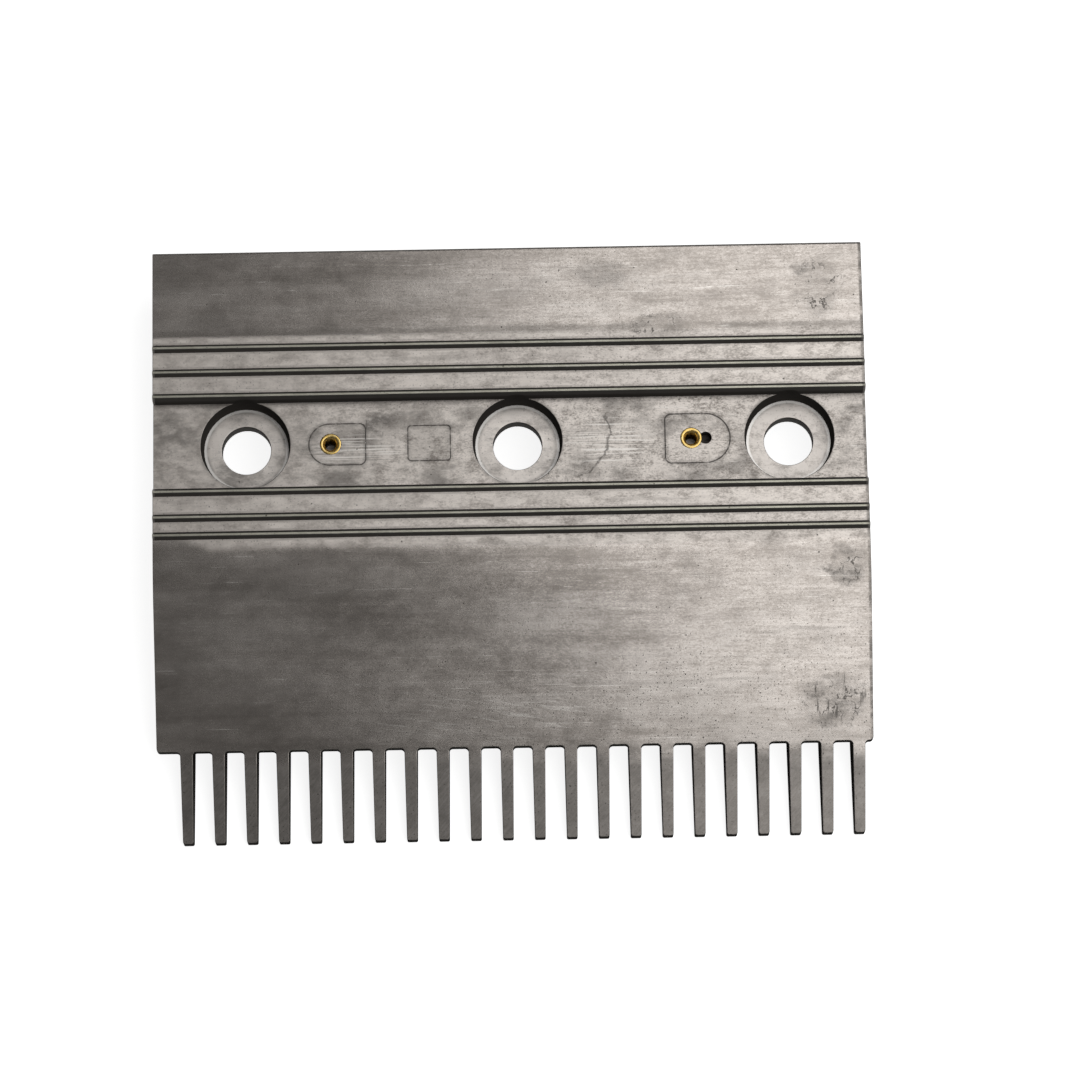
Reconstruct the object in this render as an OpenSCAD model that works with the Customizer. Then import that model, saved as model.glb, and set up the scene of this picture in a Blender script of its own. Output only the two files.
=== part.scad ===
// Escalator comb plate: one die-cast aluminium casting and two brass threaded inserts.
// Millimetres. X runs across the stairway, +Y points away from the steps, Z is up.
// The origin is the axis of the middle bolt hole where it leaves the mounting face.

/* [Comb teeth] */
// Number of teeth
tooth_count = 22; // [21:1:30]
// Centre distance of the teeth, which is that of the step cleats
tooth_pitch = 9.068; // [8.6:0.001:12]
// Tooth width at the root
tooth_root_w = 3.6; // [2.8:0.05:4.4]
// Tooth width at the tip
tooth_tip_w = 3.05; // [2.5:0.05:3.6]
// Length of the teeth in front of the root line
tooth_len = 25; // [16:0.1:34]
// Height of the blunt end of a tooth
tooth_tip_h = 5; // [3.5:0.1:7]
// Radius between a tooth and the lip of the ramp, seen from above
root_fillet_r = 1.1; // [0.5:0.1:2]
// Corner radius of the tips, seen from above
tip_corner_r = 0.7; // [0.3:0.1:1.2]
// Corner radius under the tips, seen from the side
tip_under_r = 1.6; // [0.5:0.1:3]

/* [Plate] */
// Length of the plate from the root line to the back edge
body_len = 142.5; // [110:0.5:180]
// Distance from the root line to the bolt holes
root_to_bolts = 86; // [80:0.5:110]
// Plate edge beyond the axis of the first tooth
first_end = 8.4; // [4:0.1:14]
// Plate edge beyond the axis of the last tooth
last_end = 4.1; // [3.5:0.1:14]
// Height of the level top above the mounting face
top_h = 14; // [13:0.1:22]
// Slope of the ramp and the teeth, in degrees
ramp_angle = 18; // [10:0.5:22]
// Radius of the crown between the level top and the ramp
crown_r = 60; // [20:1:90]
// Level stretch between the last grip rib and the crown
crown_lead = 1.5; // [0.5:0.5:6]
// Radius of the top back edge
back_edge_r = 0.8; // [0.3:0.1:2]
// Corner radius of the plate's front corners, seen from above
front_corner_r = 1; // [0.5:0.1:3]

/* [Grip ribs] */
// Height of a rib above the level top
rib_h = 1.4; // [0.6:0.1:2.5]
// Width of a rib at its foot
rib_foot_w = 2.3; // [1.6:0.1:3.5]
// Width of a rib at its crest
rib_crest_w = 0.66; // [0.4:0.02:1.4]
// Spacing of the three ribs behind the fixing band
rib_pitch_back = 7.15; // [5:0.05:9]
// Spacing of the first and second rib in front of the fixing band
rib_pitch_front = 7.45; // [5:0.05:9]
// Spacing of the second and third rib in front of the fixing band
rib_pitch_last = 5.2; // [4:0.05:8]

/* [Fixing band] */
// Width of the sunk band at the level of the top
band_w = 25.5; // [24:0.1:32]
// Depth of the band below the level top
band_depth = 3; // [1.5:0.1:5]
// Shift of the band's middle from the line of the bolt holes
band_shift = -0.25; // [-1:0.05:1]
// Draft of the band's two walls, in degrees
band_draft = 3; // [0:0.5:8]
// Distance between neighbouring bolt holes
bolt_pitch = 77.4; // [62:0.1:83]
// Diameter of a bolt hole
bolt_hole_d = 14; // [9:0.1:16]
// Diameter of the seat for the bolt head or washer
seat_d = 24.1; // [20:0.1:26]
// Diameter of the counterbore at the floor of the band
mouth_d = 25.5; // [21:0.1:30]
// Thickness of the plate under the bolt head
seat_web = 5; // [3:0.1:7]

/* [Threaded inserts] */
// Outside diameter of an insert
insert_d = 6; // [5:0.1:8]
// Length of an insert
insert_len = 7; // [4:0.1:8]
// Bore of an insert, the core of its thread
insert_bore_d = 3.3; // [2.5:0.05:4.2]
// Width of the chamfer at the mouth of an insert, across
insert_mouth_d = 4.4; // [3.6:0.1:5]
// Depth of the two grooves between the knurled bands of an insert
insert_groove = 0.3; // [0.1:0.05:0.6]
// Screw room under an insert
insert_relief = 1; // [0.5:0.1:1.5]
// Distance of the first insert from the outer bolt hole next to it
first_insert_to_bolt = 24.2; // [22:0.1:32]
// Distance of the second insert from the outer bolt hole next to it
second_insert_to_bolt = 28; // [27:0.1:36]
// Offset of the blind core hole beside the second insert
core_hole_offset = 4.1; // [3:0.1:6]
// Diameter of the blind core hole
core_hole_d = 3.4; // [2:0.1:5]
// Depth of the blind core hole
core_hole_depth = 4; // [1:0.1:6]

/* [Underside] */
// Thickness of the top skin over the pockets
skin_t = 4; // [2.5:0.1:5]
// Thickness of the ramp at the root line
lip_t = 2.8; // [2:0.1:5]
// Thickness of the back and front walls of the hollow block
end_wall_t = 5; // [3:0.1:8]
// Thickness of the side walls of the hollow block
side_wall_t = 4; // [3:0.1:8]
// Thickness of the stiffening ribs
stiffener_t = 3.5; // [2:0.1:6]
// Diameter of the boss round a bolt hole
bolt_boss_d = 34; // [30:0.5:40]
// Diameter of the boss round an insert
insert_boss_d = 14.4; // [10:0.1:18]
// Distance of the hollow block's front wall from the bolt holes
block_front = 38; // [32:0.5:44]
// Length of the full-depth tooth web behind the root line
web_full_len = 2; // [0:0.5:6]
// Length of the slope from the full-depth web up to the mounting face
web_slope_len = 18; // [8:0.5:30]

/* [Hidden] */
$fn = 64;
// Overlap for clean cuts
cut = 0.5;
// Depth to which a concave corner runs into the side of its tooth
root_fillet_bite = 0.05;
arc_steps = 12;
corner_steps = 5;

aluminium = "#a9a5a0";
brass = "#c9a24b";

// Places along Y
root_y = -root_to_bolts;
back_y = root_y + body_len;
tip_y = root_y - tooth_len;
step_y = -block_front;
band_back_y = band_shift + band_w / 2;
band_front_y = band_shift - band_w / 2;
rib_y = [
    for (i = [2 : -1 : 0]) band_back_y + rib_foot_w / 2 + i * rib_pitch_back,
    band_front_y - rib_foot_w / 2,
    band_front_y - rib_foot_w / 2 - rib_pitch_front,
    band_front_y - rib_foot_w / 2 - rib_pitch_front - rib_pitch_last
];
crown_y = rib_y[5] - rib_foot_w / 2 - crown_lead;
crown_end_y = crown_y - crown_r * sin(ramp_angle);

// Places along X
first_tooth_x = -(tooth_count - 1) * tooth_pitch / 2;
last_tooth_x = -first_tooth_x;
left_x = first_tooth_x - first_end;
right_x = last_tooth_x + last_end;
first_insert_x = first_insert_to_bolt - bolt_pitch;
second_insert_x = bolt_pitch - second_insert_to_bolt;

// Heights
band_z = top_h - band_depth;
band_batter = band_depth * tan(band_draft);
crown_end_z = top_h - crown_r * (1 - cos(ramp_angle));
insert_seat_z = band_z - insert_len;

// Height of the ramp, and of the teeth that carry it on
function ramp_z(y) = crown_end_z - (crown_end_y - y) * tan(ramp_angle);
// Height of the crown between the level top and the ramp
function crown_z(y) = top_h - crown_r + sqrt(crown_r * crown_r - (crown_y - y) * (crown_y - y));
// Height of the top in front of the last rib
function top_z(y) = y > crown_y ? top_h : (y > crown_end_y ? crown_z(y) : ramp_z(y));
// Points of an arc of radius r about c, from angle a to angle b
function arc(c, r, a, b, n) = [for (i = [0 : n]) c + r * [cos(a + (b - a) * i / n), sin(a + (b - a) * i / n)]];

// Front of the concave corners beside the teeth
lip_y = root_y - root_fillet_r;
root_z = ramp_z(root_y);
tip_z = ramp_z(tip_y);
tooth_bottom_z = tip_z - tooth_tip_h;

// Height of the underside of the ramp between the webs
function lip_under_z(y) =
    root_z - lip_t + (y - root_y) * (top_z(step_y) - skin_t - root_z + lip_t) / (step_y - root_y);

// Outline of one grip rib on the level top, from its back foot to its front foot
function rib_points(y) = [
    [y + rib_foot_w / 2, top_h],
    [y + rib_crest_w / 2, top_h + rib_h],
    [y - rib_crest_w / 2, top_h + rib_h],
    [y - rib_foot_w / 2, top_h]
];

// Lays a side outline, drawn as (Y, Z), across the plate from x to x + w
module across(x, w) {
    translate([x, 0, 0]) rotate([90, 0, 90]) linear_extrude(w) children();
}

// Side outline of the plate without its teeth
module plate_side() {
    polygon(concat(
        [[back_y, 0]],
        arc([back_y - back_edge_r, top_h - back_edge_r], back_edge_r, 0, 90, corner_steps),
        rib_points(rib_y[0]),
        rib_points(rib_y[1]),
        rib_points(rib_y[2]),
        [[band_back_y - band_batter, band_z], [band_front_y + band_batter, band_z]],
        rib_points(rib_y[3]),
        rib_points(rib_y[4]),
        rib_points(rib_y[5]),
        arc([crown_y, top_h - crown_r], crown_r, 90, 90 + ramp_angle, arc_steps),
        [
            [lip_y, ramp_z(lip_y)],
            [lip_y, lip_under_z(lip_y)],
            [step_y, top_z(step_y) - skin_t],
            [step_y, 0]
        ]
    ));
}

// Side outline of the hollow in the block, which follows the top at the skin's thickness
module pocket_side() {
    polygon([
        [back_y - end_wall_t, -cut],
        [back_y - end_wall_t, top_h - skin_t],
        [band_back_y + skin_t, top_h - skin_t],
        [band_back_y + skin_t - band_depth, band_z - skin_t],
        [band_front_y - skin_t + band_depth, band_z - skin_t],
        [band_front_y - skin_t, top_h - skin_t],
        [step_y + end_wall_t, top_z(step_y) - skin_t],
        [step_y + end_wall_t, -cut]
    ]);
}

// Plan outline of the front of the plate round the root of a tooth at x
function root_points(x) = let (fillet_x = tooth_root_w / 2 + root_fillet_r - root_fillet_bite) concat(
    arc([x - fillet_x, lip_y], root_fillet_r, 90, 0, corner_steps),
    arc([x + fillet_x, lip_y], root_fillet_r, 180, 90, corner_steps)
);

// Plan outline of the plate, with rounded front corners and a concave corner at each side of a tooth
module plate_plan() {
    polygon(concat(
        [[right_x, back_y + cut], [left_x, back_y + cut]],
        arc([left_x + front_corner_r, root_y + front_corner_r], front_corner_r, 180, 270, corner_steps),
        [for (i = [0 : tooth_count - 1], p = root_points(first_tooth_x + i * tooth_pitch)) p],
        arc([right_x - front_corner_r, root_y + front_corner_r], front_corner_r, 270, 360, corner_steps)
    ));
}

// Bolt and insert bosses and stiffening ribs, which stay when the block is hollowed
module stiffeners() {
    for (i = [-1 : 1]) {
        translate([i * bolt_pitch, 0, 0]) cylinder(h = top_h, d = bolt_boss_d);
        translate([i * bolt_pitch - stiffener_t / 2, step_y, 0])
            cube([stiffener_t, back_y - step_y, top_h]);
    }
    translate([first_insert_x, 0, 0]) cylinder(h = top_h, d = insert_boss_d);
    translate([second_insert_x, 0, 0]) cylinder(h = top_h, d = insert_boss_d);
    translate([second_insert_x + core_hole_offset, 0, 0]) cylinder(h = top_h, d = insert_boss_d);
    translate([left_x, -stiffener_t / 2, 0]) cube([right_x - left_x, stiffener_t, top_h]);
}

// Counterbored bolt hole on the Z axis
module bolt_hole() {
    translate([0, 0, -cut]) cylinder(h = top_h, d = bolt_hole_d);
    translate([0, 0, seat_web]) cylinder(h = band_z - seat_web, d1 = seat_d, d2 = mouth_d);
    translate([0, 0, band_z]) cylinder(h = band_depth + rib_h + cut, d = mouth_d);
}

// Hole that an insert is pressed into, on the Z axis
module insert_hole() {
    translate([0, 0, insert_seat_z]) cylinder(h = insert_len + cut, d = insert_d);
    translate([0, 0, insert_seat_z - insert_relief]) cylinder(h = insert_relief + cut, d = insert_bore_d);
}

// Plan outline of one tooth and its web, on the Y axis
module tooth_plan() {
    half_tip = tooth_tip_w / 2;
    polygon(concat(
        [[tooth_root_w / 2, step_y], [-tooth_root_w / 2, step_y], [-tooth_root_w / 2, root_y]],
        arc([tip_corner_r - half_tip, tip_y + tip_corner_r], tip_corner_r, 180, 270, corner_steps),
        arc([half_tip - tip_corner_r, tip_y + tip_corner_r], tip_corner_r, 270, 360, corner_steps),
        [[tooth_root_w / 2, root_y]]
    ));
}

// Side outline of one tooth and the web that carries it back under the ramp
module tooth_side() {
    web_y = root_y + web_full_len;
    polygon(concat(
        [
            [tip_y, tip_z],
            [root_y, root_z],
            [root_y + lip_t, root_z - lip_t / 2],
            [step_y + cut, top_z(step_y) - skin_t + cut],
            [step_y + cut, 0],
            [web_y + web_slope_len, 0],
            [web_y, tooth_bottom_z]
        ],
        arc([tip_y + tip_under_r, tooth_bottom_z + tip_under_r], tip_under_r, 270, 180, corner_steps)
    ));
}

// One tooth on the Y axis
module tooth() {
    intersection() {
        across(-tooth_root_w / 2, tooth_root_w) tooth_side();
        translate([0, 0, tooth_bottom_z - cut])
            linear_extrude(top_h - tooth_bottom_z + 2 * cut) tooth_plan();
    }
}

module comb_casting() {
    color(aluminium) difference() {
        union() {
            difference() {
                intersection() {
                    across(left_x, right_x - left_x) plate_side();
                    translate([0, 0, root_z - 2 * lip_t])
                        linear_extrude(top_h - root_z + 4 * lip_t) plate_plan();
                }
                difference() {
                    across(left_x + side_wall_t, right_x - left_x - 2 * side_wall_t) pocket_side();
                    stiffeners();
                }
            }
            for (i = [0 : tooth_count - 1]) translate([first_tooth_x + i * tooth_pitch, 0, 0]) tooth();
        }
        for (i = [-1 : 1]) {
            translate([i * bolt_pitch, 0, 0]) bolt_hole();
        }
        translate([first_insert_x, 0, 0]) insert_hole();
        translate([second_insert_x, 0, 0]) insert_hole();
        translate([second_insert_x + core_hole_offset, 0, band_z - core_hole_depth])
            cylinder(h = core_hole_depth + cut, d = core_hole_d);
    }
}

// Brass insert standing on z = 0: three bands in the casting, and a chamfered bore
module threaded_insert() {
    chamfer = (insert_mouth_d - insert_bore_d) / 2;
    band = insert_len / 5;
    waist_d = insert_d - 2 * insert_groove;
    color(brass) difference() {
        union() {
            cylinder(h = insert_len, d = waist_d);
            for (i = [0, 2, 4]) {
                translate([0, 0, i * band]) cylinder(h = band, d = insert_d);
            }
        }
        translate([0, 0, -cut]) cylinder(h = insert_len + 2 * cut, d = insert_bore_d);
        translate([0, 0, insert_len - chamfer])
            cylinder(h = chamfer, d1 = insert_bore_d, d2 = insert_mouth_d);
    }
}

module first_threaded_insert() {
    translate([first_insert_x, 0, insert_seat_z]) threaded_insert();
}

module second_threaded_insert() {
    translate([second_insert_x, 0, insert_seat_z]) threaded_insert();
}

comb_casting();
first_threaded_insert();
second_threaded_insert();
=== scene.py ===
import bpy
import bmesh
import math
from types import SimpleNamespace
from mathutils import Matrix, Vector


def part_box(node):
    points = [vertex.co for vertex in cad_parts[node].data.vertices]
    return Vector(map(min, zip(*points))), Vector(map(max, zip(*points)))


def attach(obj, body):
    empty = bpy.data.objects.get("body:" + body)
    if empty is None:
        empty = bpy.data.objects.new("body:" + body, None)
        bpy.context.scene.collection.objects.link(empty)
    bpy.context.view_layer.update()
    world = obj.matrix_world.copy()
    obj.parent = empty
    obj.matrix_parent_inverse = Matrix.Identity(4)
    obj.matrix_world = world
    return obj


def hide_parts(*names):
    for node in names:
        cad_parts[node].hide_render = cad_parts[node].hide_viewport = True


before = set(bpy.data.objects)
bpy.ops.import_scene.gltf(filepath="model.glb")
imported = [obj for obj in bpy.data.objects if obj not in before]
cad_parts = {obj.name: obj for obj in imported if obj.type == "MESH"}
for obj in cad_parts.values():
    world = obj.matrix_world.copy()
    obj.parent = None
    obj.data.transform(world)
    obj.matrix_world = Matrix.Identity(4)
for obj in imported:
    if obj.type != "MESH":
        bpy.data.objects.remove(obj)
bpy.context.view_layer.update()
scene = bpy.context.scene
perMetre = 1000
toMetres = Matrix.Scale(1 / perMetre, 4)
toMillimetres = Matrix.Scale(perMetre, 4)
print("frame loaded:", sorted(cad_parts))


def newObject(name, data):
    obj = bpy.data.objects.new(name, data)
    scene.collection.objects.link(obj)
    return obj


# camera, fitted to the photographed edges; millimetres and degrees, nearest and farthest in metres
camera = dict(place=(-1.6, -342.4, 1357.5), tilt=13.1, yaw=0.31, roll=0.327,
              lens=162.753, sensor=36, nearest=0.05, farthest=20)


def makeCamera(v):
    data = bpy.data.cameras.new("photoCamera")
    data.sensor_width = v["sensor"]
    data.lens = v["lens"]
    data.clip_start = v["nearest"]
    data.clip_end = v["farthest"]
    obj = newObject("photoCamera", data)
    tilt, yaw, roll = (math.radians(v[key]) for key in ("tilt", "yaw", "roll"))
    look = Vector((math.sin(yaw), math.sin(tilt) * math.cos(yaw), -math.cos(tilt) * math.cos(yaw)))
    side = look.cross(Vector((0, 0, 1))).normalized()
    up = side.cross(look)
    right = side * math.cos(roll) + up * math.sin(roll)
    top = up * math.cos(roll) - side * math.sin(roll)
    turn = Matrix((right, top, -look)).transposed().to_4x4()
    obj.matrix_world = Matrix.Translation(toMetres @ Vector(v["place"])) @ turn
    scene.camera = obj


makeCamera(camera)
print("camera placed")


# one large softbox over the right side, in metres; level is the brightness that it is seen at
softbox = dict(place=(0.47, -0.05, 0.9), aim=(0.47, -0.05, 0), turn=5, size=(0.90, 1.5), level=1.5)
roomLevel = 0.118


def makeSoftbox(v):
    data = bpy.data.lights.new("overheadSoftbox", "AREA")
    data.shape = "RECTANGLE"
    data.size, data.size_y = v["size"]
    data.energy = v["level"] * math.pi * data.size * data.size_y
    obj = newObject("overheadSoftbox", data)
    place = Vector(v["place"])
    turn = (Vector(v["aim"]) - place).to_track_quat("-Z", "Y")
    spin = Matrix.Rotation(math.radians(v["turn"]), 4, "Z")
    obj.matrix_world = Matrix.Translation(place) @ spin @ turn.to_matrix().to_4x4()
    obj.visible_camera = False


def makeWorld(level):
    world = bpy.data.worlds.new("paleRoom")
    scene.world = world
    world.use_nodes = True
    background = world.node_tree.nodes["Background"]
    background.inputs["Color"].default_value = (1, 1, 1, 1)
    background.inputs["Strength"].default_value = level


makeSoftbox(softbox)
makeWorld(roomLevel)
scene.view_settings.view_transform = "Standard"


# helpers for the node trees
def newMaterial(name):
    mat = bpy.data.materials.new(name)
    mat.use_nodes = True
    tree = mat.node_tree
    return mat, tree, tree.nodes["Principled BSDF"]


def setInput(tree, node, key, value):
    if isinstance(value, bpy.types.NodeSocket):
        tree.links.new(value, node.inputs[key])
    else:
        node.inputs[key].default_value = value


def add(tree, kind, inputs=None, **values):
    node = tree.nodes.new(kind)
    for key, value in values.items():
        setattr(node, key, value)
    for key, value in (inputs or {}).items():
        setInput(tree, node, key, value)
    return node


def math2(tree, operation, a, b=0.0):
    return add(tree, "ShaderNodeMath", {0: a, 1: b}, operation=operation).outputs[0]


def vector2(tree, operation, a, b, result=0):
    return add(tree, "ShaderNodeVectorMath", {0: a, 1: b}, operation=operation).outputs[result]


def join(tree, x, y, z=0.0):
    return add(tree, "ShaderNodeCombineXYZ", {0: x, 1: y, 2: z}).outputs[0]


def mixColour(tree, factor, a, b):
    return add(tree, "ShaderNodeMix", {0: factor, 6: a, 7: b}, data_type="RGBA").outputs[2]


def ramp(tree, source, stops):
    node = tree.nodes.new("ShaderNodeValToRGB")
    tree.links.new(source, node.inputs[0])
    elements = node.color_ramp.elements
    while len(elements) < len(stops):
        elements.new(0.5)
    for element, (place, colour) in zip(elements, stops):
        element.position = place
        element.color = (*colour, 1)
    return node.outputs[0]


def noise(tree, vector, scale, detail, rough, seed):
    inputs = {"Vector": vector, "Scale": scale, "Detail": detail, "Roughness": rough, "W": seed}
    return add(tree, "ShaderNodeTexNoise", inputs, noise_dimensions="4D").outputs["Fac"]


def smooth(tree, value, low, high, start=0.0, end=1.0):
    return add(tree, "ShaderNodeMapRange", {0: value, 1: low, 2: high, 3: start, 4: end},
               interpolation_type="SMOOTHSTEP").outputs[0]


# goes from start to end as a mask goes from nothing to full
def fade(tree, mask, start, end):
    return smooth(tree, mask, 0, 1, start, end)


def chain(tree, operation, values):
    result = values[0]
    for value in values[1:]:
        result = math2(tree, operation, result, value)
    return result


def product(tree, *values):
    return chain(tree, "MULTIPLY", values)


def total(tree, *values):
    return chain(tree, "ADD", values)


def largest(tree, *values):
    return chain(tree, "MAXIMUM", values)


def apart(tree, a, b):
    return math2(tree, "ABSOLUTE", math2(tree, "SUBTRACT", a, b))


# several noises with weights of their own, added up round a middle value
def blend(tree, *parts, middle=0.5):
    result = middle - 0.5 * sum(weight for value, weight in parts)
    for value, weight in parts:
        node = add(tree, "ShaderNodeMath", {0: value, 1: weight, 2: result}, operation="MULTIPLY_ADD")
        result = node.outputs[0]
    return result


# a place that a noise moves to and fro, so that a limit drawn with it isn't straight
def stray(tree, value, by, amount):
    return math2(tree, "ADD", value, product(tree, math2(tree, "SUBTRACT", by, 0.5), amount))


# one between two values, fading to nothing outside them
def between(tree, value, low, high, soft=0.4):
    begun = smooth(tree, value, low - soft, low)
    return product(tree, begun, smooth(tree, value, high, high + soft, 1.0, 0.0))


def mapped(tree, source, scale=(1, 1, 1), turn=0.0):
    inputs = {"Vector": source, "Scale": scale, "Rotation": (0, 0, math.radians(turn))}
    return add(tree, "ShaderNodeMapping", inputs).outputs[0]


# height and size in metres; glow is the brightness that the camera and reflections see
floorValues = dict(z=-0.0146, size=6.0, colour=0.8, rough=0.9, glow=0.86)


def makeFloor(v):
    mesh = bpy.data.meshes.new("floor")
    h = v["size"] / 2
    corners = [(x, y, v["z"]) for x, y in ((-h, -h), (h, -h), (h, h), (-h, h))]
    mesh.from_pydata(corners, [], [(0, 1, 2, 3)])
    obj = newObject("floor", mesh)
    mat, tree, shader = newMaterial("whiteFloor")
    shader.inputs["Base Color"].default_value = (v["colour"],) * 3 + (1,)
    shader.inputs["Roughness"].default_value = v["rough"]
    shader.inputs["Specular IOR Level"].default_value = 0.0
    shader.inputs["Emission Color"].default_value = (1, 1, 1, 1)
    path = add(tree, "ShaderNodeLightPath").outputs
    seen = largest(tree, path["Is Camera Ray"], path["Is Glossy Ray"], path["Is Transmission Ray"])
    setInput(tree, shader, "Emission Strength", product(tree, seen, v["glow"]))
    mesh.materials.append(mat)


makeFloor(floorValues)
print("room made")


# marks on the fixing band in millimetres: low and high corner, then the radii at the left and right end
bandMarks = dict(
    firstPad=dict(low=(-59.35, -6.15), high=(-43.2, 5.9), radii=(6.0, 1.8)),
    secondPad=dict(low=(42.0, -7.3), high=(60.5, 7.1), radii=(1.8, 7.15)),
    plainFrame=dict(low=(-31.2, -5.3), high=(-19.1, 5.0), radii=(1.0, 1.0)),
)
boltX = (-77.4, 0.0, 77.4)
ribY = (27.95, 20.8, 13.65, -14.15, -21.6, -26.8)


# signed distance from a mark's outline, negative inside
def markDistance(tree, x, y, mark):
    (x0, y0), (x1, y1) = mark["low"], mark["high"]
    leftR, rightR = mark["radii"]
    side = math2(tree, "SUBTRACT", x, (x0 + x1) / 2)
    onRight = math2(tree, "GREATER_THAN", side, 0.0)
    corner = add(tree, "ShaderNodeMapRange", {0: onRight, 3: leftR, 4: rightR}).outputs[0]
    qx = total(tree, math2(tree, "SUBTRACT", math2(tree, "ABSOLUTE", side), (x1 - x0) / 2), corner)
    qy = total(tree, math2(tree, "SUBTRACT", apart(tree, y, (y0 + y1) / 2), (y1 - y0) / 2), corner)
    outer = join(tree, largest(tree, qx, 0.0), largest(tree, qy, 0.0))
    length = add(tree, "ShaderNodeVectorMath", {0: outer}, operation="LENGTH").outputs["Value"]
    inner = math2(tree, "MINIMUM", largest(tree, qx, qy), 0.0)
    return math2(tree, "SUBTRACT", total(tree, length, inner), corner)


def ringDistance(tree, flat, x, y, radius):
    return math2(tree, "SUBTRACT", vector2(tree, "DISTANCE", flat, (x, y, 0), "Value"), radius)


# small specks, some of them faint, in a share of the cells of a plane pattern; cell and radius in mm
def specks(tree, flat, cell, radius, share):
    node = add(tree, "ShaderNodeTexVoronoi", {"Vector": flat, "Scale": 1 / cell}, voronoi_dimensions="2D")
    chance, size, strength = add(tree, "ShaderNodeSeparateColor", {0: node.outputs["Color"]}).outputs
    size = product(tree, smooth(tree, size, 0.0, 1.0, 0.45, 1.0), radius / cell)
    spot = smooth(tree, math2(tree, "DIVIDE", node.outputs["Distance"], size), 0.55, 1.0, 1.0, 0.0)
    strength = smooth(tree, strength, 0.0, 0.8, 0.3, 1.0)
    return product(tree, spot, math2(tree, "LESS_THAN", chance, share), strength)


# soft oval patch in the plane; size is half its length and width
def patch(tree, flat, centre, size):
    away = vector2(tree, "SUBTRACT", flat, (*centre, 0))
    share = vector2(tree, "DIVIDE", away, (*size, 1))
    length = add(tree, "ShaderNodeVectorMath", {0: share}, operation="LENGTH").outputs["Value"]
    return smooth(tree, length, 0.35, 1.0, 1.0, 0.0)


# the strongest of several patches, each a centre, a size and a share
def patches(tree, flat, rows):
    result = 0.0
    for centre, size, share in rows:
        result = largest(tree, result, product(tree, patch(tree, flat, centre, size), share))
    return result


# noises of the casting: scale along x, y and z for each millimetre, then detail, roughness and seed
castingNoises = dict(
    fine=((0.11, 1.7, 1.7), 3, 0.5, 1.3),         # brushing across the plate
    broad=((0.018, 0.24, 0.24), 4, 0.5, 4.1),     # long soft bands
    cloud=((0.024, 0.05, 0.05), 4, 0.55, 7.7),
    mottle=((0.19, 0.27, 0.27), 5, 0.64, 3.2),
    blot=((0.06, 0.11, 0.11), 6, 0.68, 11.6),
    grain=((1.1, 2.4, 2.4), 3, 0.6, 2.2),
    dust=((2.2, 3.6, 3.6), 2, 0.5, 5.9),
    streak=((0.08, 0.85, 0.85), 3, 0.5, 21.0),
    curl=((0.24, 0.2, 0.2), 3, 0.6, 41.0),
    tick=((0.95, 0.13, 0.13), 3, 0.6, 43.0),      # short marks that run front to rear
)

# where each finish lies, in millimetres: from and to, then the values before and after where these aren't 0
# and 1, or the softness of both ends; a stray is how far a noise moves a limit
castingZones = dict(
    # in the upward part of a face's direction
    level=(0.78, 0.90), wall=(0.55, 0.72, 1.0, 0.0), pitted=(0.85, 0.9),
    # the sunk band, its bolt seats and the ribs, with highlights painted on the seat edges and the rib crests
    # and shade at the rib feet
    bandTop=(11.05, 11.3, 1.0, 0.0), bandY=(-13.2, 12.7), bandRight=(10.0, 90.0, 0.0, 0.16),
    seatTop=(5.2, 5.4, 1.0, 0.0), seatY=(-12.5, 12.5), seatRadius=12.1, seatEdge=-0.3, boreEdge=-4.6,
    seatDirt=(0.2, 2.2, 1.0, 0.0), seatHighlight=(0.22, 0.75, 0.95, 0.0),
    ribFootShade=(1.0, 1.4, 0.7), crest=(14.7, 15.2, 0.0, 0.68),
    # the slab and the ramp, with a dark reflection painted at the ramp's top
    lively=(-90.0, 45.0, 0.4, 1.45), rightSide=(98.1, 98.7), ticksY=(10.0, 30.0, 1.0, 0.25),
    rearBelt=(30.5, 31.9), rearStray=1.6, rearBorder=(32.0, 32.6, 1.6), rearEdge=(55.4, 56.2),
    frontBelt=(-32.9, -28.4, 1.0, 0.0), frontStray=3.5, frontCorner=(-98.0, -86.0, 3.5, 0.0),
    rampTopShade=(-44.0, -35.0, 4.0), rampShadeLeft=(-40.0, 15.0, 0.34, 0.0), rampFoot=(-87.0, -64.0, 0.34, 0.0),
    # the teeth, and the corners of the top, where shade is painted on the walls and on the tip faces
    teeth=(-93.0, -84.5, 1.0, 0.0), teethStray=12.0, sandedX=(-5.0, 45.0, 0.95, 0.75),
    tipFace=(-110.9, -110.5, 1.0, 0.0), toothRoot=(-84.5, -83.5, 0.95, 0.35),
    topZ=(4.2, 4.7), topX=(-102.8, 98.5), topY=(-34.0, 55.2, 1.5), topWall=(13.4, 14.4, 0.95, 0.87),
    # outlines of dirt and painted shade and a hair of dirt on the band, and the cored hole's painted shade;
    # hair and cored are rings, with x, y and radius
    frame=(-0.5, 0.0, 0.2, 0.0), line=(0.12, 0.30, 1.0, 0.0), lineShade=(0.2, 1.2, 0.3, 0.0),
    hair=(13.5, 1.5, 12.5), hairStray=5.0, hairWidth=(0.10, 0.50, 0.75, 0.0),
    hairX=(15.0, 19.0), hairY=(-11.5, 6.5, 1.0),
    cored=(53.5, 0, 1.75), coredEdge=(-0.1, 0.05, 1.0, 0.0), coredTop=(10.2, 10.9, 0.85, 0.0),
    # pits, with cell, radius and share
    smallPits=(0.95, 0.24, 0.5), largePits=(4.2, 0.30, 0.18),
    pitsX=(10.0, 75.0, 0.85, 0.6), pitsY=(-74.0, -42.0, 1.0, 0.5),
)
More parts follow.
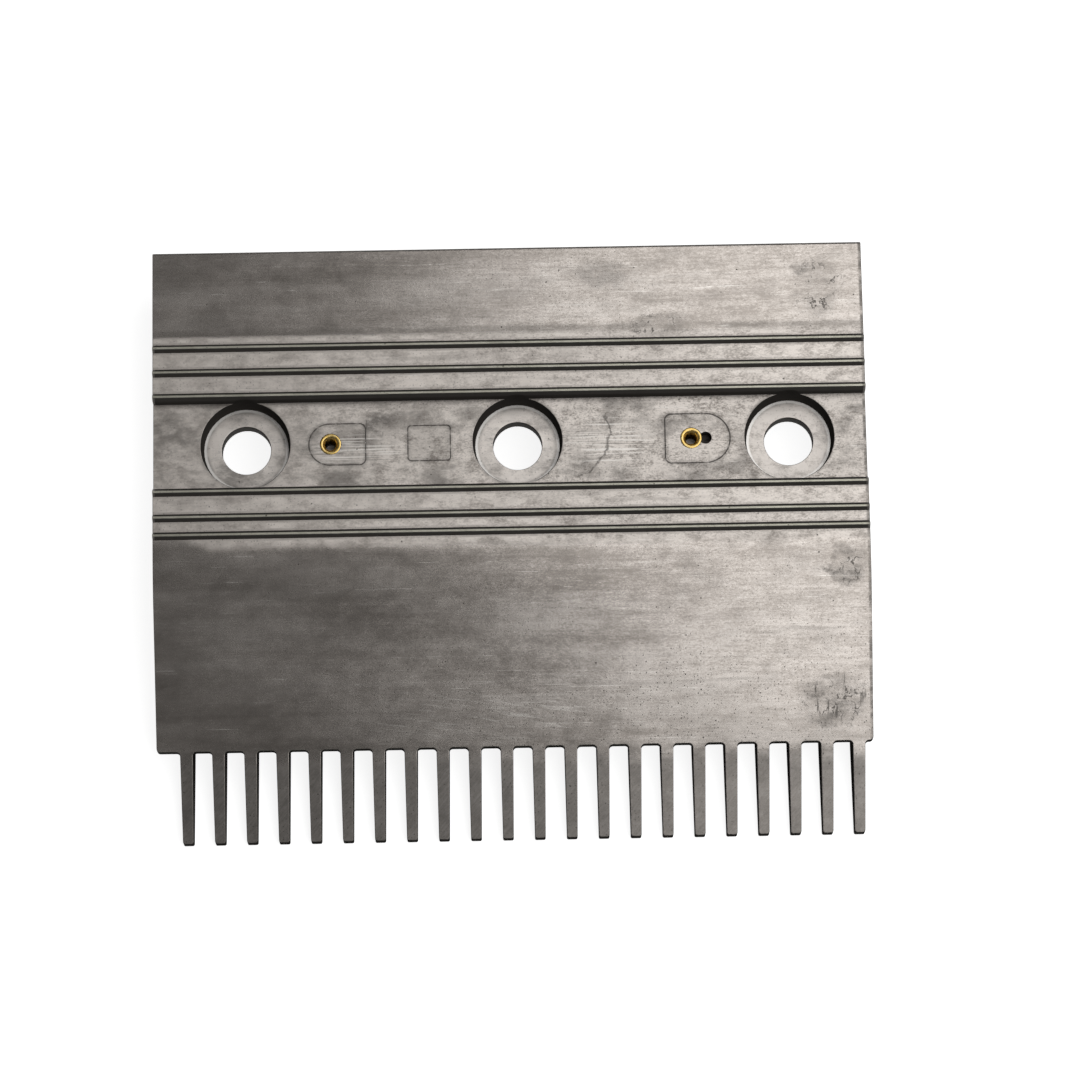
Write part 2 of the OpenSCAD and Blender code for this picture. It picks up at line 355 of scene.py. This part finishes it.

# colours, some of them painted highlight and shade, then patches as centre, half length and half width, and
# share, in millimetres
aluminium = dict(
    dark=(0.33, 0.297, 0.268), middle=(0.47, 0.428, 0.392), light=(0.62, 0.572, 0.53),
    tooth=(0.205, 0.191, 0.177), toothLight=(0.35, 0.327, 0.306),
    cast=(0.20, 0.188, 0.175), castLight=(0.30, 0.285, 0.268),
    plain=(0.82, 0.759, 0.702, 1), seat=(0.88, 0.82, 0.765, 1), crest=(0.44, 0.445, 0.35, 1),
    scratch=(0.90, 0.86, 0.81, 1), ring=(1.0, 0.97, 0.93, 1), stainAndShade=(0.12, 0.11, 0.10, 1),
    # on the row below, the colours after the pits' colour are painted shade, for walls, holes, outlines and
    # tip faces
    pit=(0.045, 0.04, 0.036, 1), paintedShade=(0.046, 0.042, 0.038, 1), tip=(0.040, 0.036, 0.033, 1),
    smudges=[((89, -75), (15, 10), 1.0), ((94, -38), (7, 8), 1.0), ((86, 43), (9, 13), 1.0),
             ((-37, 6), (8, 5), 1.0), ((19, -9), (9, 4), 1.0), ((93, -5), (5, 6), 1.0),
             ((42, 33), (12, 5), 1.0)],
    shades=[((-99, 49), (9, 9), 0.45), ((-85, 36), (10, 4.5), 0.5), ((25, 48), (15, 6), 0.4),
            ((-60, 49), (34, 3), 0.35)],
    rubbed=[((-48, -2), (23, 6.5), 1.1), ((27, -1), (19, 11), 1.1), ((95, -3.5), (6, 1.4), 1.2),
            ((5, -72), (40, 10), 0.45)],
    swept=[((-8, -78), (46, 10), 0.4)],
    cleared=[((25, -56), (50, 18), 0.12)],
)


# the places, noises and zones that the layers of the finish share
def castingField(tree, v):
    coordinates = add(tree, "ShaderNodeTexCoord").outputs
    where = mapped(tree, coordinates["Object"], (perMetre,) * 3)
    f = SimpleNamespace(where=where)
    f.x, f.y, f.z = add(tree, "ShaderNodeSeparateXYZ", {0: where}).outputs
    f.flat = join(tree, f.x, f.y)
    f.up = add(tree, "ShaderNodeSeparateXYZ", {0: coordinates["Normal"]}).outputs[2]
    for name, (scale, detail, rough, seed) in castingNoises.items():
        setattr(f, name, noise(tree, mapped(tree, where, scale), 1, detail, rough, seed))
    f.long = noise(tree, mapped(tree, where, (0.05, 1.9, 1.9), 3), 1, 2, 0.5, 27.0)      # long scratches
    f.level = smooth(tree, f.up, *v["level"])
    f.wall = smooth(tree, f.up, *v["wall"])
    f.inBand = product(tree, smooth(tree, f.z, *v["bandTop"]), between(tree, f.y, *v["bandY"]))
    f.onSeat = product(tree, smooth(tree, f.z, *v["seatTop"]), between(tree, f.y, *v["seatY"]))
    f.onTeeth = smooth(tree, stray(tree, f.y, f.mottle, v["teethStray"]), *v["teeth"])
    f.rear = stray(tree, f.y, f.mottle, v["rearStray"])
    corner = smooth(tree, f.x, *v["frontCorner"])
    f.front = math2(tree, "SUBTRACT", stray(tree, f.y, f.blot, v["frontStray"]), corner)
    f.belt = largest(tree, smooth(tree, f.rear, *v["rearBelt"]), smooth(tree, f.front, *v["frontBelt"]))
    return f


# metal before dirt: rubbed by belts on the slab and the ramp, plain between the ribs, sanded on the teeth
def metalColour(tree, f, c, v):
    lively = smooth(tree, f.x, *v["lively"])      # the left half is worn smoother
    texture = blend(tree, (f.fine, 0.24), (f.mottle, 0.42), (f.grain, 0.45), (f.dust, 0.32), middle=0.0)
    tone = total(tree, blend(tree, (f.cloud, 0.5), (f.broad, 0.52)), product(tree, lively, texture),
                 patches(tree, f.flat, c["cleared"]))
    rubbed = ramp(tree, tone, [(0.32, c["dark"]), (0.50, c["middle"]), (0.68, c["light"])])
    texture = blend(tree, (f.grain, 0.65), (f.dust, 0.4), middle=0.0)
    texture = product(tree, lively, fade(tree, f.inBand, 0.5, 1.0), texture)
    plainShare = smooth(tree, total(tree, blend(tree, (f.mottle, 1.0)), texture), 0.26, 0.66)
    colour = mixColour(tree, f.belt, mixColour(tree, plainShare, rubbed, c["plain"]), rubbed)
    seatShare = product(tree, f.onSeat, smooth(tree, f.mottle, 0.32, 0.6, 0.3, 0.95))
    colour = mixColour(tree, seatShare, colour, c["seat"])
    slant = mapped(tree, mapped(tree, f.where, turn=-48), (0.22, 2.4, 0.3))      # sanded across the teeth
    slant = noise(tree, slant, 1, 3, 0.55, 23.0)
    tone = blend(tree, (slant, 0.7), (f.mottle, 0.5), (f.grain, 0.5), (f.dust, 0.3))
    sanded = ramp(tree, tone, [(0.3, c["tooth"]), (0.7, c["toothLight"])])
    return mixColour(tree, product(tree, f.onTeeth, smooth(tree, f.x, *v["sandedX"])), colour, sanded)


# round the bolt holes: dirt at the edge of the seat, the bore, and the distance from the seat's edge, along
# which a bright ring is painted as a highlight
def boltRings(tree, f, v):
    rim, bore, ring = 0.0, 0.0, 1.0
    for x in boltX:
        away = ringDistance(tree, f.flat, x, 0, v["seatRadius"])
        rim = largest(tree, rim, smooth(tree, math2(tree, "ABSOLUTE", away), *v["seatDirt"]))
        bore = largest(tree, bore, math2(tree, "LESS_THAN", away, v["boreEdge"]))
        ring = math2(tree, "MINIMUM", ring, apart(tree, away, v["seatEdge"]))
    return rim, bore, ring


# where things were handled: curls and ticks of dirt, over a faint shade
def handledDirt(tree, f, c, v):
    drift = join(tree, blend(tree, (f.blot, 26.0), middle=0.0), blend(tree, (f.mottle, 11.0), middle=0.0))
    strayed = vector2(tree, "ADD", f.flat, drift)
    curls = product(tree, smooth(tree, apart(tree, f.curl, 0.5), 0.008, 0.030, 0.95, 0.0),
                    smooth(tree, f.mottle, 0.45, 0.53), fade(tree, f.inBand, 1.0, 0.0))
    ticks = product(tree, smooth(tree, f.tick, 0.54, 0.68, 0.0, 0.95), smooth(tree, f.y, *v["ticksY"]))
    soft = smooth(tree, blend(tree, (f.blot, 0.9), (f.grain, 0.3)), 0.43, 0.64, 0.16, 0.85)
    smudge = product(tree, patches(tree, strayed, c["smudges"]), largest(tree, curls, ticks, soft), 0.95)
    uneven = smooth(tree, blend(tree, (f.mottle, 0.7), (f.broad, 0.6)), 0.36, 0.58, 0.25, 1.0)
    return largest(tree, smudge, product(tree, patches(tree, strayed, c["shades"]), uneven))


# dirt at edges: round the bolt seats, along the rear belt and on the right side; at the feet of the ribs,
# painted shade in the creases, with dirt
def edgeDirtAndShade(tree, f, v, rim):
    rim = product(tree, rim, f.inBand, smooth(tree, f.mottle, 0.38, 0.62), 0.75)
    # painted shade in the creases at the feet of the ribs, with dirt
    foot = 0.0
    for y in ribY:
        foot = largest(tree, foot, between(tree, apart(tree, f.y, y), *v["ribFootShade"]))
    foot = product(tree, foot, smooth(tree, f.mottle, 0.35, 0.65), 0.45)
    border = largest(tree, between(tree, f.rear, *v["rearBorder"]), smooth(tree, f.y, *v["rearEdge"]))
    border = product(tree, border, smooth(tree, f.blot, 0.36, 0.55, 0.1, 0.42))
    side = product(tree, smooth(tree, f.x, *v["rightSide"]), smooth(tree, f.mottle, 0.35, 0.6, 0.2, 0.8))
    return largest(tree, rim, foot, border, side)


# dirt on the faces: blots, long smears, the band's right half and framed mark; a dark reflection painted on
# the ramp's top, and the ramp darker towards its foot
def faceDirtAndShade(tree, f, v, rubbed):
    blots = smooth(tree, blend(tree, (f.blot, 1.0), (f.grain, 0.2)), 0.46, 0.69)
    blots = product(tree, blots, fade(tree, f.inBand, 0.22, 0.62))
    smears = product(tree, smooth(tree, blend(tree, (f.broad, 0.8), (f.streak, 0.6)), 0.53, 0.72), 0.24)
    # painted reflection: a dark band under the crown of the ramp, on its left
    top = product(tree, between(tree, f.front, *v["rampTopShade"]), smooth(tree, f.x, *v["rampShadeLeft"]))
    # darker towards the foot of the ramp
    uneven = smooth(tree, blend(tree, (f.blot, 0.6), (f.grain, 0.5)), 0.35, 0.6)
    foot = product(tree, smooth(tree, f.y, *v["rampFoot"]), uneven)
    inFrame = smooth(tree, markDistance(tree, f.x, f.y, bandMarks["plainFrame"]), *v["frame"])
    band = product(tree, f.inBand, largest(tree, inFrame, smooth(tree, f.x, *v["bandRight"])))
    grooved = product(tree, rubbed, smooth(tree, f.long, 0.33, 0.43, 0.5, 0.0))
    return largest(tree, blots, smears, top, foot, band, grooved)


# bright scratches: long ones, denser where parts were slid over the plate, and slanted ones near the teeth
def scratchShare(tree, f, c, rubbed):
    lines = smooth(tree, total(tree, f.long, product(tree, rubbed, 0.11)), 0.63, 0.73)
    usual = product(tree, smooth(tree, f.mottle, 0.42, 0.60), 0.5)
    lines = product(tree, lines, largest(tree, product(tree, rubbed, 0.85), usual))
    slanted = mapped(tree, mapped(tree, f.where, turn=9), (0.06, 1.7, 1.7))
    slanted = smooth(tree, noise(tree, slanted, 1, 2, 0.5, 51.0), 0.54, 0.68)
    slanted = product(tree, slanted, patches(tree, f.flat, c["swept"]))
    return product(tree, largest(tree, lines, slanted), fade(tree, f.onTeeth, 1.0, 0.0))


# pits of the casting, thicker towards the teeth
def pitShare(tree, f, v):
    shift = join(tree, blend(tree, (f.grain, 0.45), middle=0.0), blend(tree, (f.dust, 0.45), middle=0.0))
    ragged = vector2(tree, "ADD", f.flat, shift)
    uneven = smooth(tree, blend(tree, (f.cloud, 1.0), (f.mottle, 0.6)), 0.34, 0.56)
    small = product(tree, specks(tree, ragged, *v["smallPits"]), smooth(tree, f.x, *v["pitsX"]), uneven,
                    smooth(tree, f.y, *v["pitsY"]))
    large = product(tree, specks(tree, ragged, *v["largePits"]), 0.9)
    return product(tree, largest(tree, small, large), smooth(tree, f.up, *v["pitted"]))


# dirt in the outlines of the mould inserts, with painted shade in their grooves, and a wavy hair of dirt
# beside the middle bolt
def lineShare(tree, f, v):
    line = 0.0
    for mark in bandMarks.values():
        away = math2(tree, "ABSOLUTE", markDistance(tree, f.x, f.y, mark))
        line = largest(tree, line, smooth(tree, away, *v["line"]), smooth(tree, away, *v["lineShade"]))
    gaps = smooth(tree, noise(tree, f.where, 0.55, 4, 0.6, 31.0), 0.34, 0.52, 0.35, 1.0)
    line = product(tree, line, f.inBand, f.level, gaps)
    hair = stray(tree, ringDistance(tree, f.flat, *v["hair"]), f.mottle, v["hairStray"])
    hair = smooth(tree, math2(tree, "ABSOLUTE", hair), *v["hairWidth"])
    hair = product(tree, gaps, hair, between(tree, f.y, *v["hairY"]), smooth(tree, f.x, *v["hairX"]))
    return largest(tree, line, hair)


# painted shade, a dark colour where shade falls: in the cored hole, in the bores, in the corners of the top
# and between the teeth
def paintedShadeShare(tree, f, v, bore):
    hole = smooth(tree, ringDistance(tree, f.flat, *v["cored"]), *v["coredEdge"])
    hole = product(tree, hole, smooth(tree, f.z, *v["coredTop"]))
    corners = product(tree, smooth(tree, f.z, *v["topZ"]), between(tree, f.x, *v["topX"]),
                      between(tree, f.y, *v["topY"]), smooth(tree, f.z, *v["topWall"]))
    gaps = smooth(tree, f.y, *v["toothRoot"])
    return largest(tree, hole, product(tree, f.wall, largest(tree, gaps, corners, product(tree, bore, 0.7))))


def castAluminium(c, v):
    mat, tree, shader = newMaterial("castAluminium")
    f = castingField(tree, v)
    rim, bore, ring = boltRings(tree, f, v)
    rubbed = patches(tree, f.flat, c["rubbed"])
    # stains and dirt, together with painted shade at the rib feet and a painted dark reflection at the ramp's
    # top
    dirtAndShade = largest(tree, handledDirt(tree, f, c, v), edgeDirtAndShade(tree, f, v, rim), faceDirtAndShade(tree, f, v, rubbed))
    pit = pitShare(tree, f, v)
    line = lineShare(tree, f, v)
    paintedShade = paintedShadeShare(tree, f, v, bore)

    # colour, from the metal up
    colour = metalColour(tree, f, c, v)
    # painted highlight: a bright thin ring along the edge of each bolt seat
    seatHighlight = product(tree, f.onSeat, smooth(tree, ring, *v["seatHighlight"]))
    # laid over the metal: an olive tone painted on the rib crests for their highlight, stains with painted
    # shade, bright scratches, a painted highlight ring on the seat edges, pits, and dirt with painted shade
    # in the outlines
    for share, upper in ((smooth(tree, f.z, *v["crest"]), "crest"), (dirtAndShade, "stainAndShade"),
                         (scratchShare(tree, f, c, rubbed), "scratch"), (seatHighlight, "ring"),
                         (product(tree, pit, 0.85), "pit"), (product(tree, line, 0.8), "paintedShade")):
        colour = mixColour(tree, share, colour, c[upper])
    tone = blend(tree, (f.mottle, 0.6), (f.grain, 0.4))
    skin = ramp(tree, tone, [(0.35, c["cast"]), (0.65, c["castLight"])])      # where no belt reaches
    colour = mixColour(tree, f.level, skin, colour)
    # painted shade: walls, holes and the gaps between the teeth darkened
    colour = mixColour(tree, paintedShade, colour, c["paintedShade"])
    # painted shade on the tip faces of the teeth, nearly black
    tipFace = product(tree, f.wall, smooth(tree, f.y, *v["tipFace"]))
    setInput(tree, shader, "Base Color", mixColour(tree, tipFace, colour, c["tip"]))
    setInput(tree, shader, "Specular IOR Level", 0.0)

    # shine and relief
    dull = largest(tree, paintedShade, pit, product(tree, largest(tree, dirtAndShade, line), 0.5))
    setInput(tree, shader, "Metallic", fade(tree, dull, 0.94, 0.0))
    shine = product(tree, f.belt, f.level, fade(tree, f.onTeeth, 1.0, 0.45))
    rough = total(tree, fade(tree, shine, 0.38, 0.17), blend(tree, (f.cloud, 0.12), (f.mottle, 0.10)),
                  product(tree, dull, 0.15), -0.45)
    setInput(tree, shader, "Roughness", rough)
    height = total(tree, product(tree, f.fine, 0.2, f.level), product(tree, f.mottle, 0.45),
                   product(tree, f.grain, fade(tree, shine, 0.45, 0.05)), product(tree, pit, -0.06))
    bump = add(tree, "ShaderNodeBump", {"Strength": 0.5, "Distance": 0.00012, "Height": height})
    setInput(tree, shader, "Normal", bump.outputs[0])
    return mat


# brass, with shade painted darker down in the thread; heights in millimetres
brass = dict(dark=(0.56, 0.36, 0.09), middle=(0.80, 0.56, 0.19), light=(0.92, 0.72, 0.33),
             boreShade=(0.07, 0.045, 0.015, 1), shadedBelow=(9.6, 10.7), boreShadeShare=0.75, rough=(0.2, 0.36))


def insertBrass(c):
    mat, tree, shader = newMaterial("insertBrass")
    where = mapped(tree, add(tree, "ShaderNodeTexCoord").outputs["Object"], (perMetre,) * 3)
    height = add(tree, "ShaderNodeSeparateXYZ", {0: where}).outputs[2]
    tone = noise(tree, where, 1.1, 4, 0.6, 3.1)
    colour = ramp(tree, tone, [(0.3, c["dark"]), (0.5, c["middle"]), (0.72, c["light"])])
    # painted shade down in the bore of the insert
    deep = smooth(tree, height, *c["shadedBelow"], c["boreShadeShare"], 0.0)
    setInput(tree, shader, "Base Color", mixColour(tree, deep, colour, c["boreShade"]))
    setInput(tree, shader, "Metallic", 1.0)
    setInput(tree, shader, "Roughness", smooth(tree, tone, 0.3, 0.7, *c["rough"]))
    return mat


aluminiumFinish = castAluminium(aluminium, castingZones)
brassFinish = insertBrass(brass)
print("finishes made")


# the casting: sizes in millimetres, angles in degrees; smallRims are the holes of the band whose edge gets
# only smallShare of the rounding, and no edge is rounded low down at the tips and roots of the teeth
casting = dict(
    rounding=0.2, steps=3, sharpFrom=28, sharpTo=105, weld=0.0002, sliver=0.01, flatWithin=0.3, bandZ=11.0,
    smallRims=((-53.2, 3.0), (49.4, 3.0), (53.5, 1.7)), rimWithin=0.12, smallShare=0.7,
    mouthR=12.75, mouthWithin=0.1, bridgeFrom=0.4, bridgeLength=0.8, leastShare=0.16,
    tipY=-108.4, tipZ=-10.5, rootY=(-90.0, -84.0), rootZ=-3.5, samePlane=0.9999, smoothWithin=50,
)


def nodeCopy(node, name):
    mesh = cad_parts[node].data.copy()
    mesh.name = name
    mesh.transform(toMillimetres)
    return newObject(name, mesh)


# turns what the modifiers give into the object's own mesh
def bake(obj):
    bpy.context.view_layer.update()
    done = bpy.data.meshes.new_from_object(obj.evaluated_get(bpy.context.evaluated_depsgraph_get()))
    obj.modifiers.clear()
    old = obj.data
    obj.data = done
    bpy.data.meshes.remove(old)


# share of the full rounding at an edge: none in a corner or low down on a tooth, and little where a bolt seat
# almost meets the walls of the band
def roundingShare(e, v):
    angle = math.degrees(e.calc_face_angle(0))
    if not v["sharpFrom"] < angle < v["sharpTo"] or not e.is_convex:
        return 0.0
    x, y, z = (e.verts[0].co + e.verts[1].co) / 2
    if (y < v["tipY"] and z < v["tipZ"]) or (v["rootY"][0] < y < v["rootY"][1] and z < v["rootZ"]):
        return 0.0
    if z <= v["bandZ"] - 1:
        return 1.0
    for rimX, rimR in v["smallRims"]:
        if abs(math.hypot(x - rimX, y) - rimR) < v["rimWithin"]:
            return v["smallShare"]
    fromBolt = min(math.hypot(x - bolt, y) for bolt in boltX)
    if abs(fromBolt - v["mouthR"]) < v["mouthWithin"]:
        share = (v["mouthR"] - v["bridgeFrom"] - abs(y)) / v["bridgeLength"]
        return min(1.0, max(v["leastShare"], share))
    return 1.0


def roundEdges(obj, v):
    bm = bmesh.new()
    bm.from_mesh(obj.data)
    bmesh.ops.remove_doubles(bm, verts=bm.verts, dist=v["weld"])
    bmesh.ops.dissolve_degenerate(bm, dist=v["sliver"], edges=bm.edges)
    bmesh.ops.dissolve_limit(bm, angle_limit=math.radians(v["flatWithin"]), verts=bm.verts, edges=bm.edges)
    bm.normal_update()
    weight = bm.edges.layers.float.new("bevel_weight_edge")
    for e in bm.edges:
        e[weight] = roundingShare(e, v)
    bm.to_mesh(obj.data)
    bm.free()
    bevel = obj.modifiers.new("edges", "BEVEL")
    bevel.limit_method = "WEIGHT"
    bevel.width = v["rounding"]
    bevel.segments = v["steps"]
    bevel.use_clamp_overlap = False
    flats = obj.modifiers.new("triangles", "TRIANGULATE")
    flats.quad_method = "BEAUTY"
    bake(obj)


# number of the plane that each face lies in, and the planes' squared areas
def facePlanes(bm, v):
    plane = [None] * len(bm.faces)
    areas = []
    for seed in bm.faces:
        if plane[seed.index] is not None:
            continue
        plane[seed.index] = len(areas)
        waiting, area = [seed], 0.0
        while waiting:
            face = waiting.pop()
            area += face.calc_area()
            for e in face.edges:
                for other in e.link_faces:
                    if plane[other.index] is None and other.normal.dot(seed.normal) > v["samePlane"]:
                        plane[other.index] = len(areas)
                        waiting.append(other)
        areas.append(area * area)
    return plane, areas


# shading: a corner of a face follows the largest plane beside it, so planes stay flat and roundings blend in
def evenNormals(mesh, v):
    smoothWithin = math.cos(math.radians(v["smoothWithin"]))
    bm = bmesh.new()
    bm.from_mesh(mesh)
    bm.normal_update()
    bm.faces.ensure_lookup_table()
    plane, areas = facePlanes(bm, v)
    normals = []
    for face in bm.faces:
        for corner in face.loops:
            direction = Vector()
            for other in corner.vert.link_faces:
                if other.normal.dot(face.normal) > smoothWithin:
                    direction += other.normal * areas[plane[other.index]]
            normals.append(direction.normalized() if direction.length > 0 else face.normal.copy())
    bm.free()
    mesh.shade_smooth()
    mesh.normals_split_custom_set(normals)


# keeps the rounded shape inside the box of the node that it stands for
def holdInside(obj, node):
    low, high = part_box(node)
    for vertex in obj.data.vertices:
        limits = zip(vertex.co, low, high)
        vertex.co = [min(max(value, least * perMetre), most * perMetre) for value, least, most in limits]


def finishPiece(obj, node, finish):
    obj.data.transform(toMetres)
    obj.data.materials.clear()
    obj.data.materials.append(finish)
    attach(obj, "root")
    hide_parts(node)
    print(obj.name, "made:", len(obj.data.polygons), "faces")


# geometry node trees: one named input for each size, and one for the material
def newTree(name, sizes):
    kinds = {int: "NodeSocketInt", float: "NodeSocketFloat"}
    tree = bpy.data.node_groups.new(name, "GeometryNodeTree")
    tree.interface.new_socket("Geometry", in_out="INPUT", socket_type="NodeSocketGeometry")
    for label, value in sizes.items():
        tree.interface.new_socket(label, in_out="INPUT", socket_type=kinds[type(value)])
    tree.interface.new_socket("Material", in_out="INPUT", socket_type="NodeSocketMaterial")
    tree.interface.new_socket("Geometry", in_out="OUTPUT", socket_type="NodeSocketGeometry")
    return tree, tree.nodes.new("NodeGroupInput").outputs, tree.nodes.new("NodeGroupOutput")


def endTree(tree, given, out, geometry):
    real = add(tree, "GeometryNodeRealizeInstances", {0: geometry})
    done = add(tree, "GeometryNodeSetMaterial", {"Geometry": real.outputs[0], "Material": given["Material"]})
    tree.links.new(done.outputs[0], out.inputs[0])
    return tree


def useTree(obj, tree, sizes, finish):
    modifier = obj.modifiers.new(tree.name, "NODES")
    modifier.node_group = tree
    values = dict(sizes, Material=finish)
    for item in tree.interface.items_tree:
        if item.in_out == "INPUT" and item.name in values:
            modifier[item.identifier] = values[item.name]
    bake(obj)


# closed outline of a mark as (x, y) points, anticlockwise
def outlinePoints(mark, steps=14):
    (x0, y0), (x1, y1) = mark["low"], mark["high"]
    leftR, rightR = mark["radii"]
    corners = [(x1 - rightR, y1 - rightR, rightR, 0), (x0 + leftR, y1 - leftR, leftR, 90),
               (x0 + leftR, y0 + leftR, leftR, 180), (x1 - rightR, y0 + rightR, rightR, 270)]
    points = []
    for cx, cy, radius, start in corners:
        for i in range(steps + 1):
            angle = math.radians(start + 90 * i / steps)
            points.append((cx + radius * math.cos(angle), cy + radius * math.sin(angle)))
    return points


# groove cutter: the outlines of the marks swept with an oval section; millimetres
groove = {"Width": 0.30, "Depth": 0.13, "Section steps": 10}


def grooveTree(sizes):
    tree, given, out = newTree("markGroove", sizes)
    path = add(tree, "GeometryNodeMeshToCurve", {0: given["Geometry"]}).outputs[0]
    circle = {"Resolution": given["Section steps"], "Radius": 1.0}
    ring = add(tree, "GeometryNodeCurvePrimitiveCircle", circle).outputs[0]
    size = join(tree, math2(tree, "DIVIDE", given["Width"], 2.0), given["Depth"], 1.0)
    section = add(tree, "GeometryNodeTransform", {"Geometry": ring, "Scale": size}).outputs[0]
    sweep = add(tree, "GeometryNodeCurveToMesh", {"Curve": path, "Profile Curve": section})
    return endTree(tree, given, out, sweep.outputs[0])


def makeCutter(v, z):
    verts, edges = [], []
    for mark in bandMarks.values():
        loop = outlinePoints(mark)
        start = len(verts)
        verts += [(x, y, z) for x, y in loop]
        edges += [(start + i, start + (i + 1) % len(loop)) for i in range(len(loop))]
    mesh = bpy.data.meshes.new("markGrooves")
    mesh.from_pydata(verts, edges, [])
    obj = newObject("markGrooves", mesh)
    useTree(obj, grooveTree(v), v, aluminiumFinish)
    return obj


def cutAway(obj, cutter):
    cut = obj.modifiers.new("grooves", "BOOLEAN")
    cut.operation = "DIFFERENCE"
    cut.solver = "MANIFOLD"
    cut.object = cutter
    bake(obj)
    bpy.data.objects.remove(cutter)


def makeCasting(v):
    obj = nodeCopy("comb_casting", "combCasting")
    roundEdges(obj, v)
    holdInside(obj, "comb_casting")
    cutAway(obj, makeCutter(groove, v["bandZ"]))
    evenNormals(obj.data, v)
    finishPiece(obj, "comb_casting", aluminiumFinish)


makeCasting(casting)


# threaded inserts in millimetres: the section is turned round the axis, then threaded and knurled
insert = {"Steps": 72, "Thread pitch": 0.7, "Thread depth": 0.35, "Knurls": 28, "Knurl depth": 0.16,
          "Knurl top": 6.0, "Bore radius": 1.65, "Outer radius": 3.0}
insertShape = dict(waistR=2.7, waistStep=0.2, mouthR=2.2, length=7.0, seatZ=4.0, edge=0.12, softened=0.3,
                   lipOut=0.06, lipIn=0.02, lipDrop=0.05, turnSteps=8, flank=(0.12, 0.9), within=0.01,
                   weld=0.0005, sharpFrom=40)
insertX = dict(first_threaded_insert=-53.2, second_threaded_insert=49.4)


# section of an insert as (radius, height) points, once round, from the foot of the outside
def insertSection(v, sizes):
    band, step = v["length"] / 5, v["waistStep"]
    outer, bore = sizes["Outer radius"], sizes["Bore radius"]
    waist, mouth, top = v["waistR"], v["mouthR"], v["length"]
    edge, soft = v["edge"], v["edge"] * v["softened"]
    points = [(outer - edge, 0), (outer, edge), (outer, band), (waist, band + step), (waist, 2 * band - step),
              (outer, 2 * band), (outer, 3 * band), (waist, 3 * band + step), (waist, 4 * band - step),
              (outer, 4 * band), (outer, top - edge), (outer - soft, top - soft), (outer - edge, top),
              (mouth + v["lipOut"], top), (mouth - v["lipIn"], top - v["lipDrop"])]
    foot = top - (mouth - bore)      # the thread starts below the countersink
    steps = round(foot / sizes["Thread pitch"] * v["turnSteps"])
    points += [(bore, foot * (1 - i / steps)) for i in range(steps + 1)]
    return points


def insertTree(v, sizes):
    tree, given, out = newTree("turnedInsert", sizes)
    section = given["Geometry"]
    count = add(tree, "GeometryNodeAttributeDomainSize", {0: section}).outputs["Point Count"]
    grid = add(tree, "GeometryNodeMeshGrid", {"Size X": 1.0, "Size Y": 1.0})
    setInput(tree, grid, "Vertices X", total(tree, count, 1.0))
    setInput(tree, grid, "Vertices Y", total(tree, given["Steps"], 1.0))
    spot = add(tree, "ShaderNodeSeparateXYZ", {0: add(tree, "GeometryNodeInputPosition").outputs[0]}).outputs
    row = math2(tree, "ROUND", product(tree, total(tree, spot[0], 0.5), count))
    point = add(tree, "GeometryNodeSampleIndex", data_type="FLOAT_VECTOR")
    setInput(tree, point, "Geometry", section)
    setInput(tree, point, "Value", add(tree, "GeometryNodeInputPosition").outputs[0])
    setInput(tree, point, "Index", math2(tree, "MODULO", row, count))
    shape = add(tree, "ShaderNodeSeparateXYZ", {0: point.outputs["Value"]}).outputs
    radius, height = shape[0], shape[2]
    turn = total(tree, spot[1], 0.5)
    # thread: the bore opens outwards by a triangle wave that climbs one pitch a turn
    climb = math2(tree, "SUBTRACT", math2(tree, "DIVIDE", height, given["Thread pitch"]), turn)
    wave = product(tree, math2(tree, "PINGPONG", climb, 0.5), 2.0)
    flank = add(tree, "ShaderNodeMapRange", {0: wave, 1: v["flank"][0], 2: v["flank"][1]}).outputs[0]
    inBore = math2(tree, "LESS_THAN", radius, total(tree, given["Bore radius"], v["within"]))
    thread = product(tree, flank, given["Thread depth"], inBore)
    # knurl: the lower bands step in between straight ridges
    ridge = math2(tree, "PINGPONG", product(tree, turn, given["Knurls"]), 0.5)
    onBand = math2(tree, "GREATER_THAN", radius, math2(tree, "SUBTRACT", given["Outer radius"], v["within"]))
    below = math2(tree, "LESS_THAN", height, given["Knurl top"])
    knurl = product(tree, ridge, 2.0, given["Knurl depth"], onBand, below)
    radius = math2(tree, "SUBTRACT", total(tree, radius, thread), knurl)
    angle = product(tree, turn, math.tau)
    place = join(tree, product(tree, radius, math2(tree, "COSINE", angle)),
                 product(tree, radius, math2(tree, "SINE", angle)), height)
    moved = add(tree, "GeometryNodeSetPosition", {"Geometry": grid.outputs["Mesh"], "Position": place})
    joined = add(tree, "GeometryNodeMergeByDistance", {"Geometry": moved.outputs[0], "Distance": v["weld"]})
    return endTree(tree, given, out, joined.outputs[0])


def makeInserts(v, sizes):
    tree = insertTree(v, sizes)
    for node, x in insertX.items():
        section = insertSection(v, sizes)
        edges = [(i, (i + 1) % len(section)) for i in range(len(section))]
        mesh = bpy.data.meshes.new(node)
        mesh.from_pydata([(radius, 0, height) for radius, height in section], edges, [])
        obj = newObject("brassInsertLeft" if x < 0 else "brassInsertRight", mesh)
        useTree(obj, tree, sizes, brassFinish)
        bm = bmesh.new()
        bm.from_mesh(obj.data)
        bmesh.ops.recalc_face_normals(bm, faces=bm.faces)
        bm.to_mesh(obj.data)
        bm.free()
        obj.data.transform(Matrix.Translation((x, 0, v["seatZ"])))
        holdInside(obj, node)
        obj.data.shade_smooth()
        obj.data.set_sharp_from_angle(angle=math.radians(v["sharpFrom"]))
        finishPiece(obj, node, brassFinish)


makeInserts(insertShape, insert)
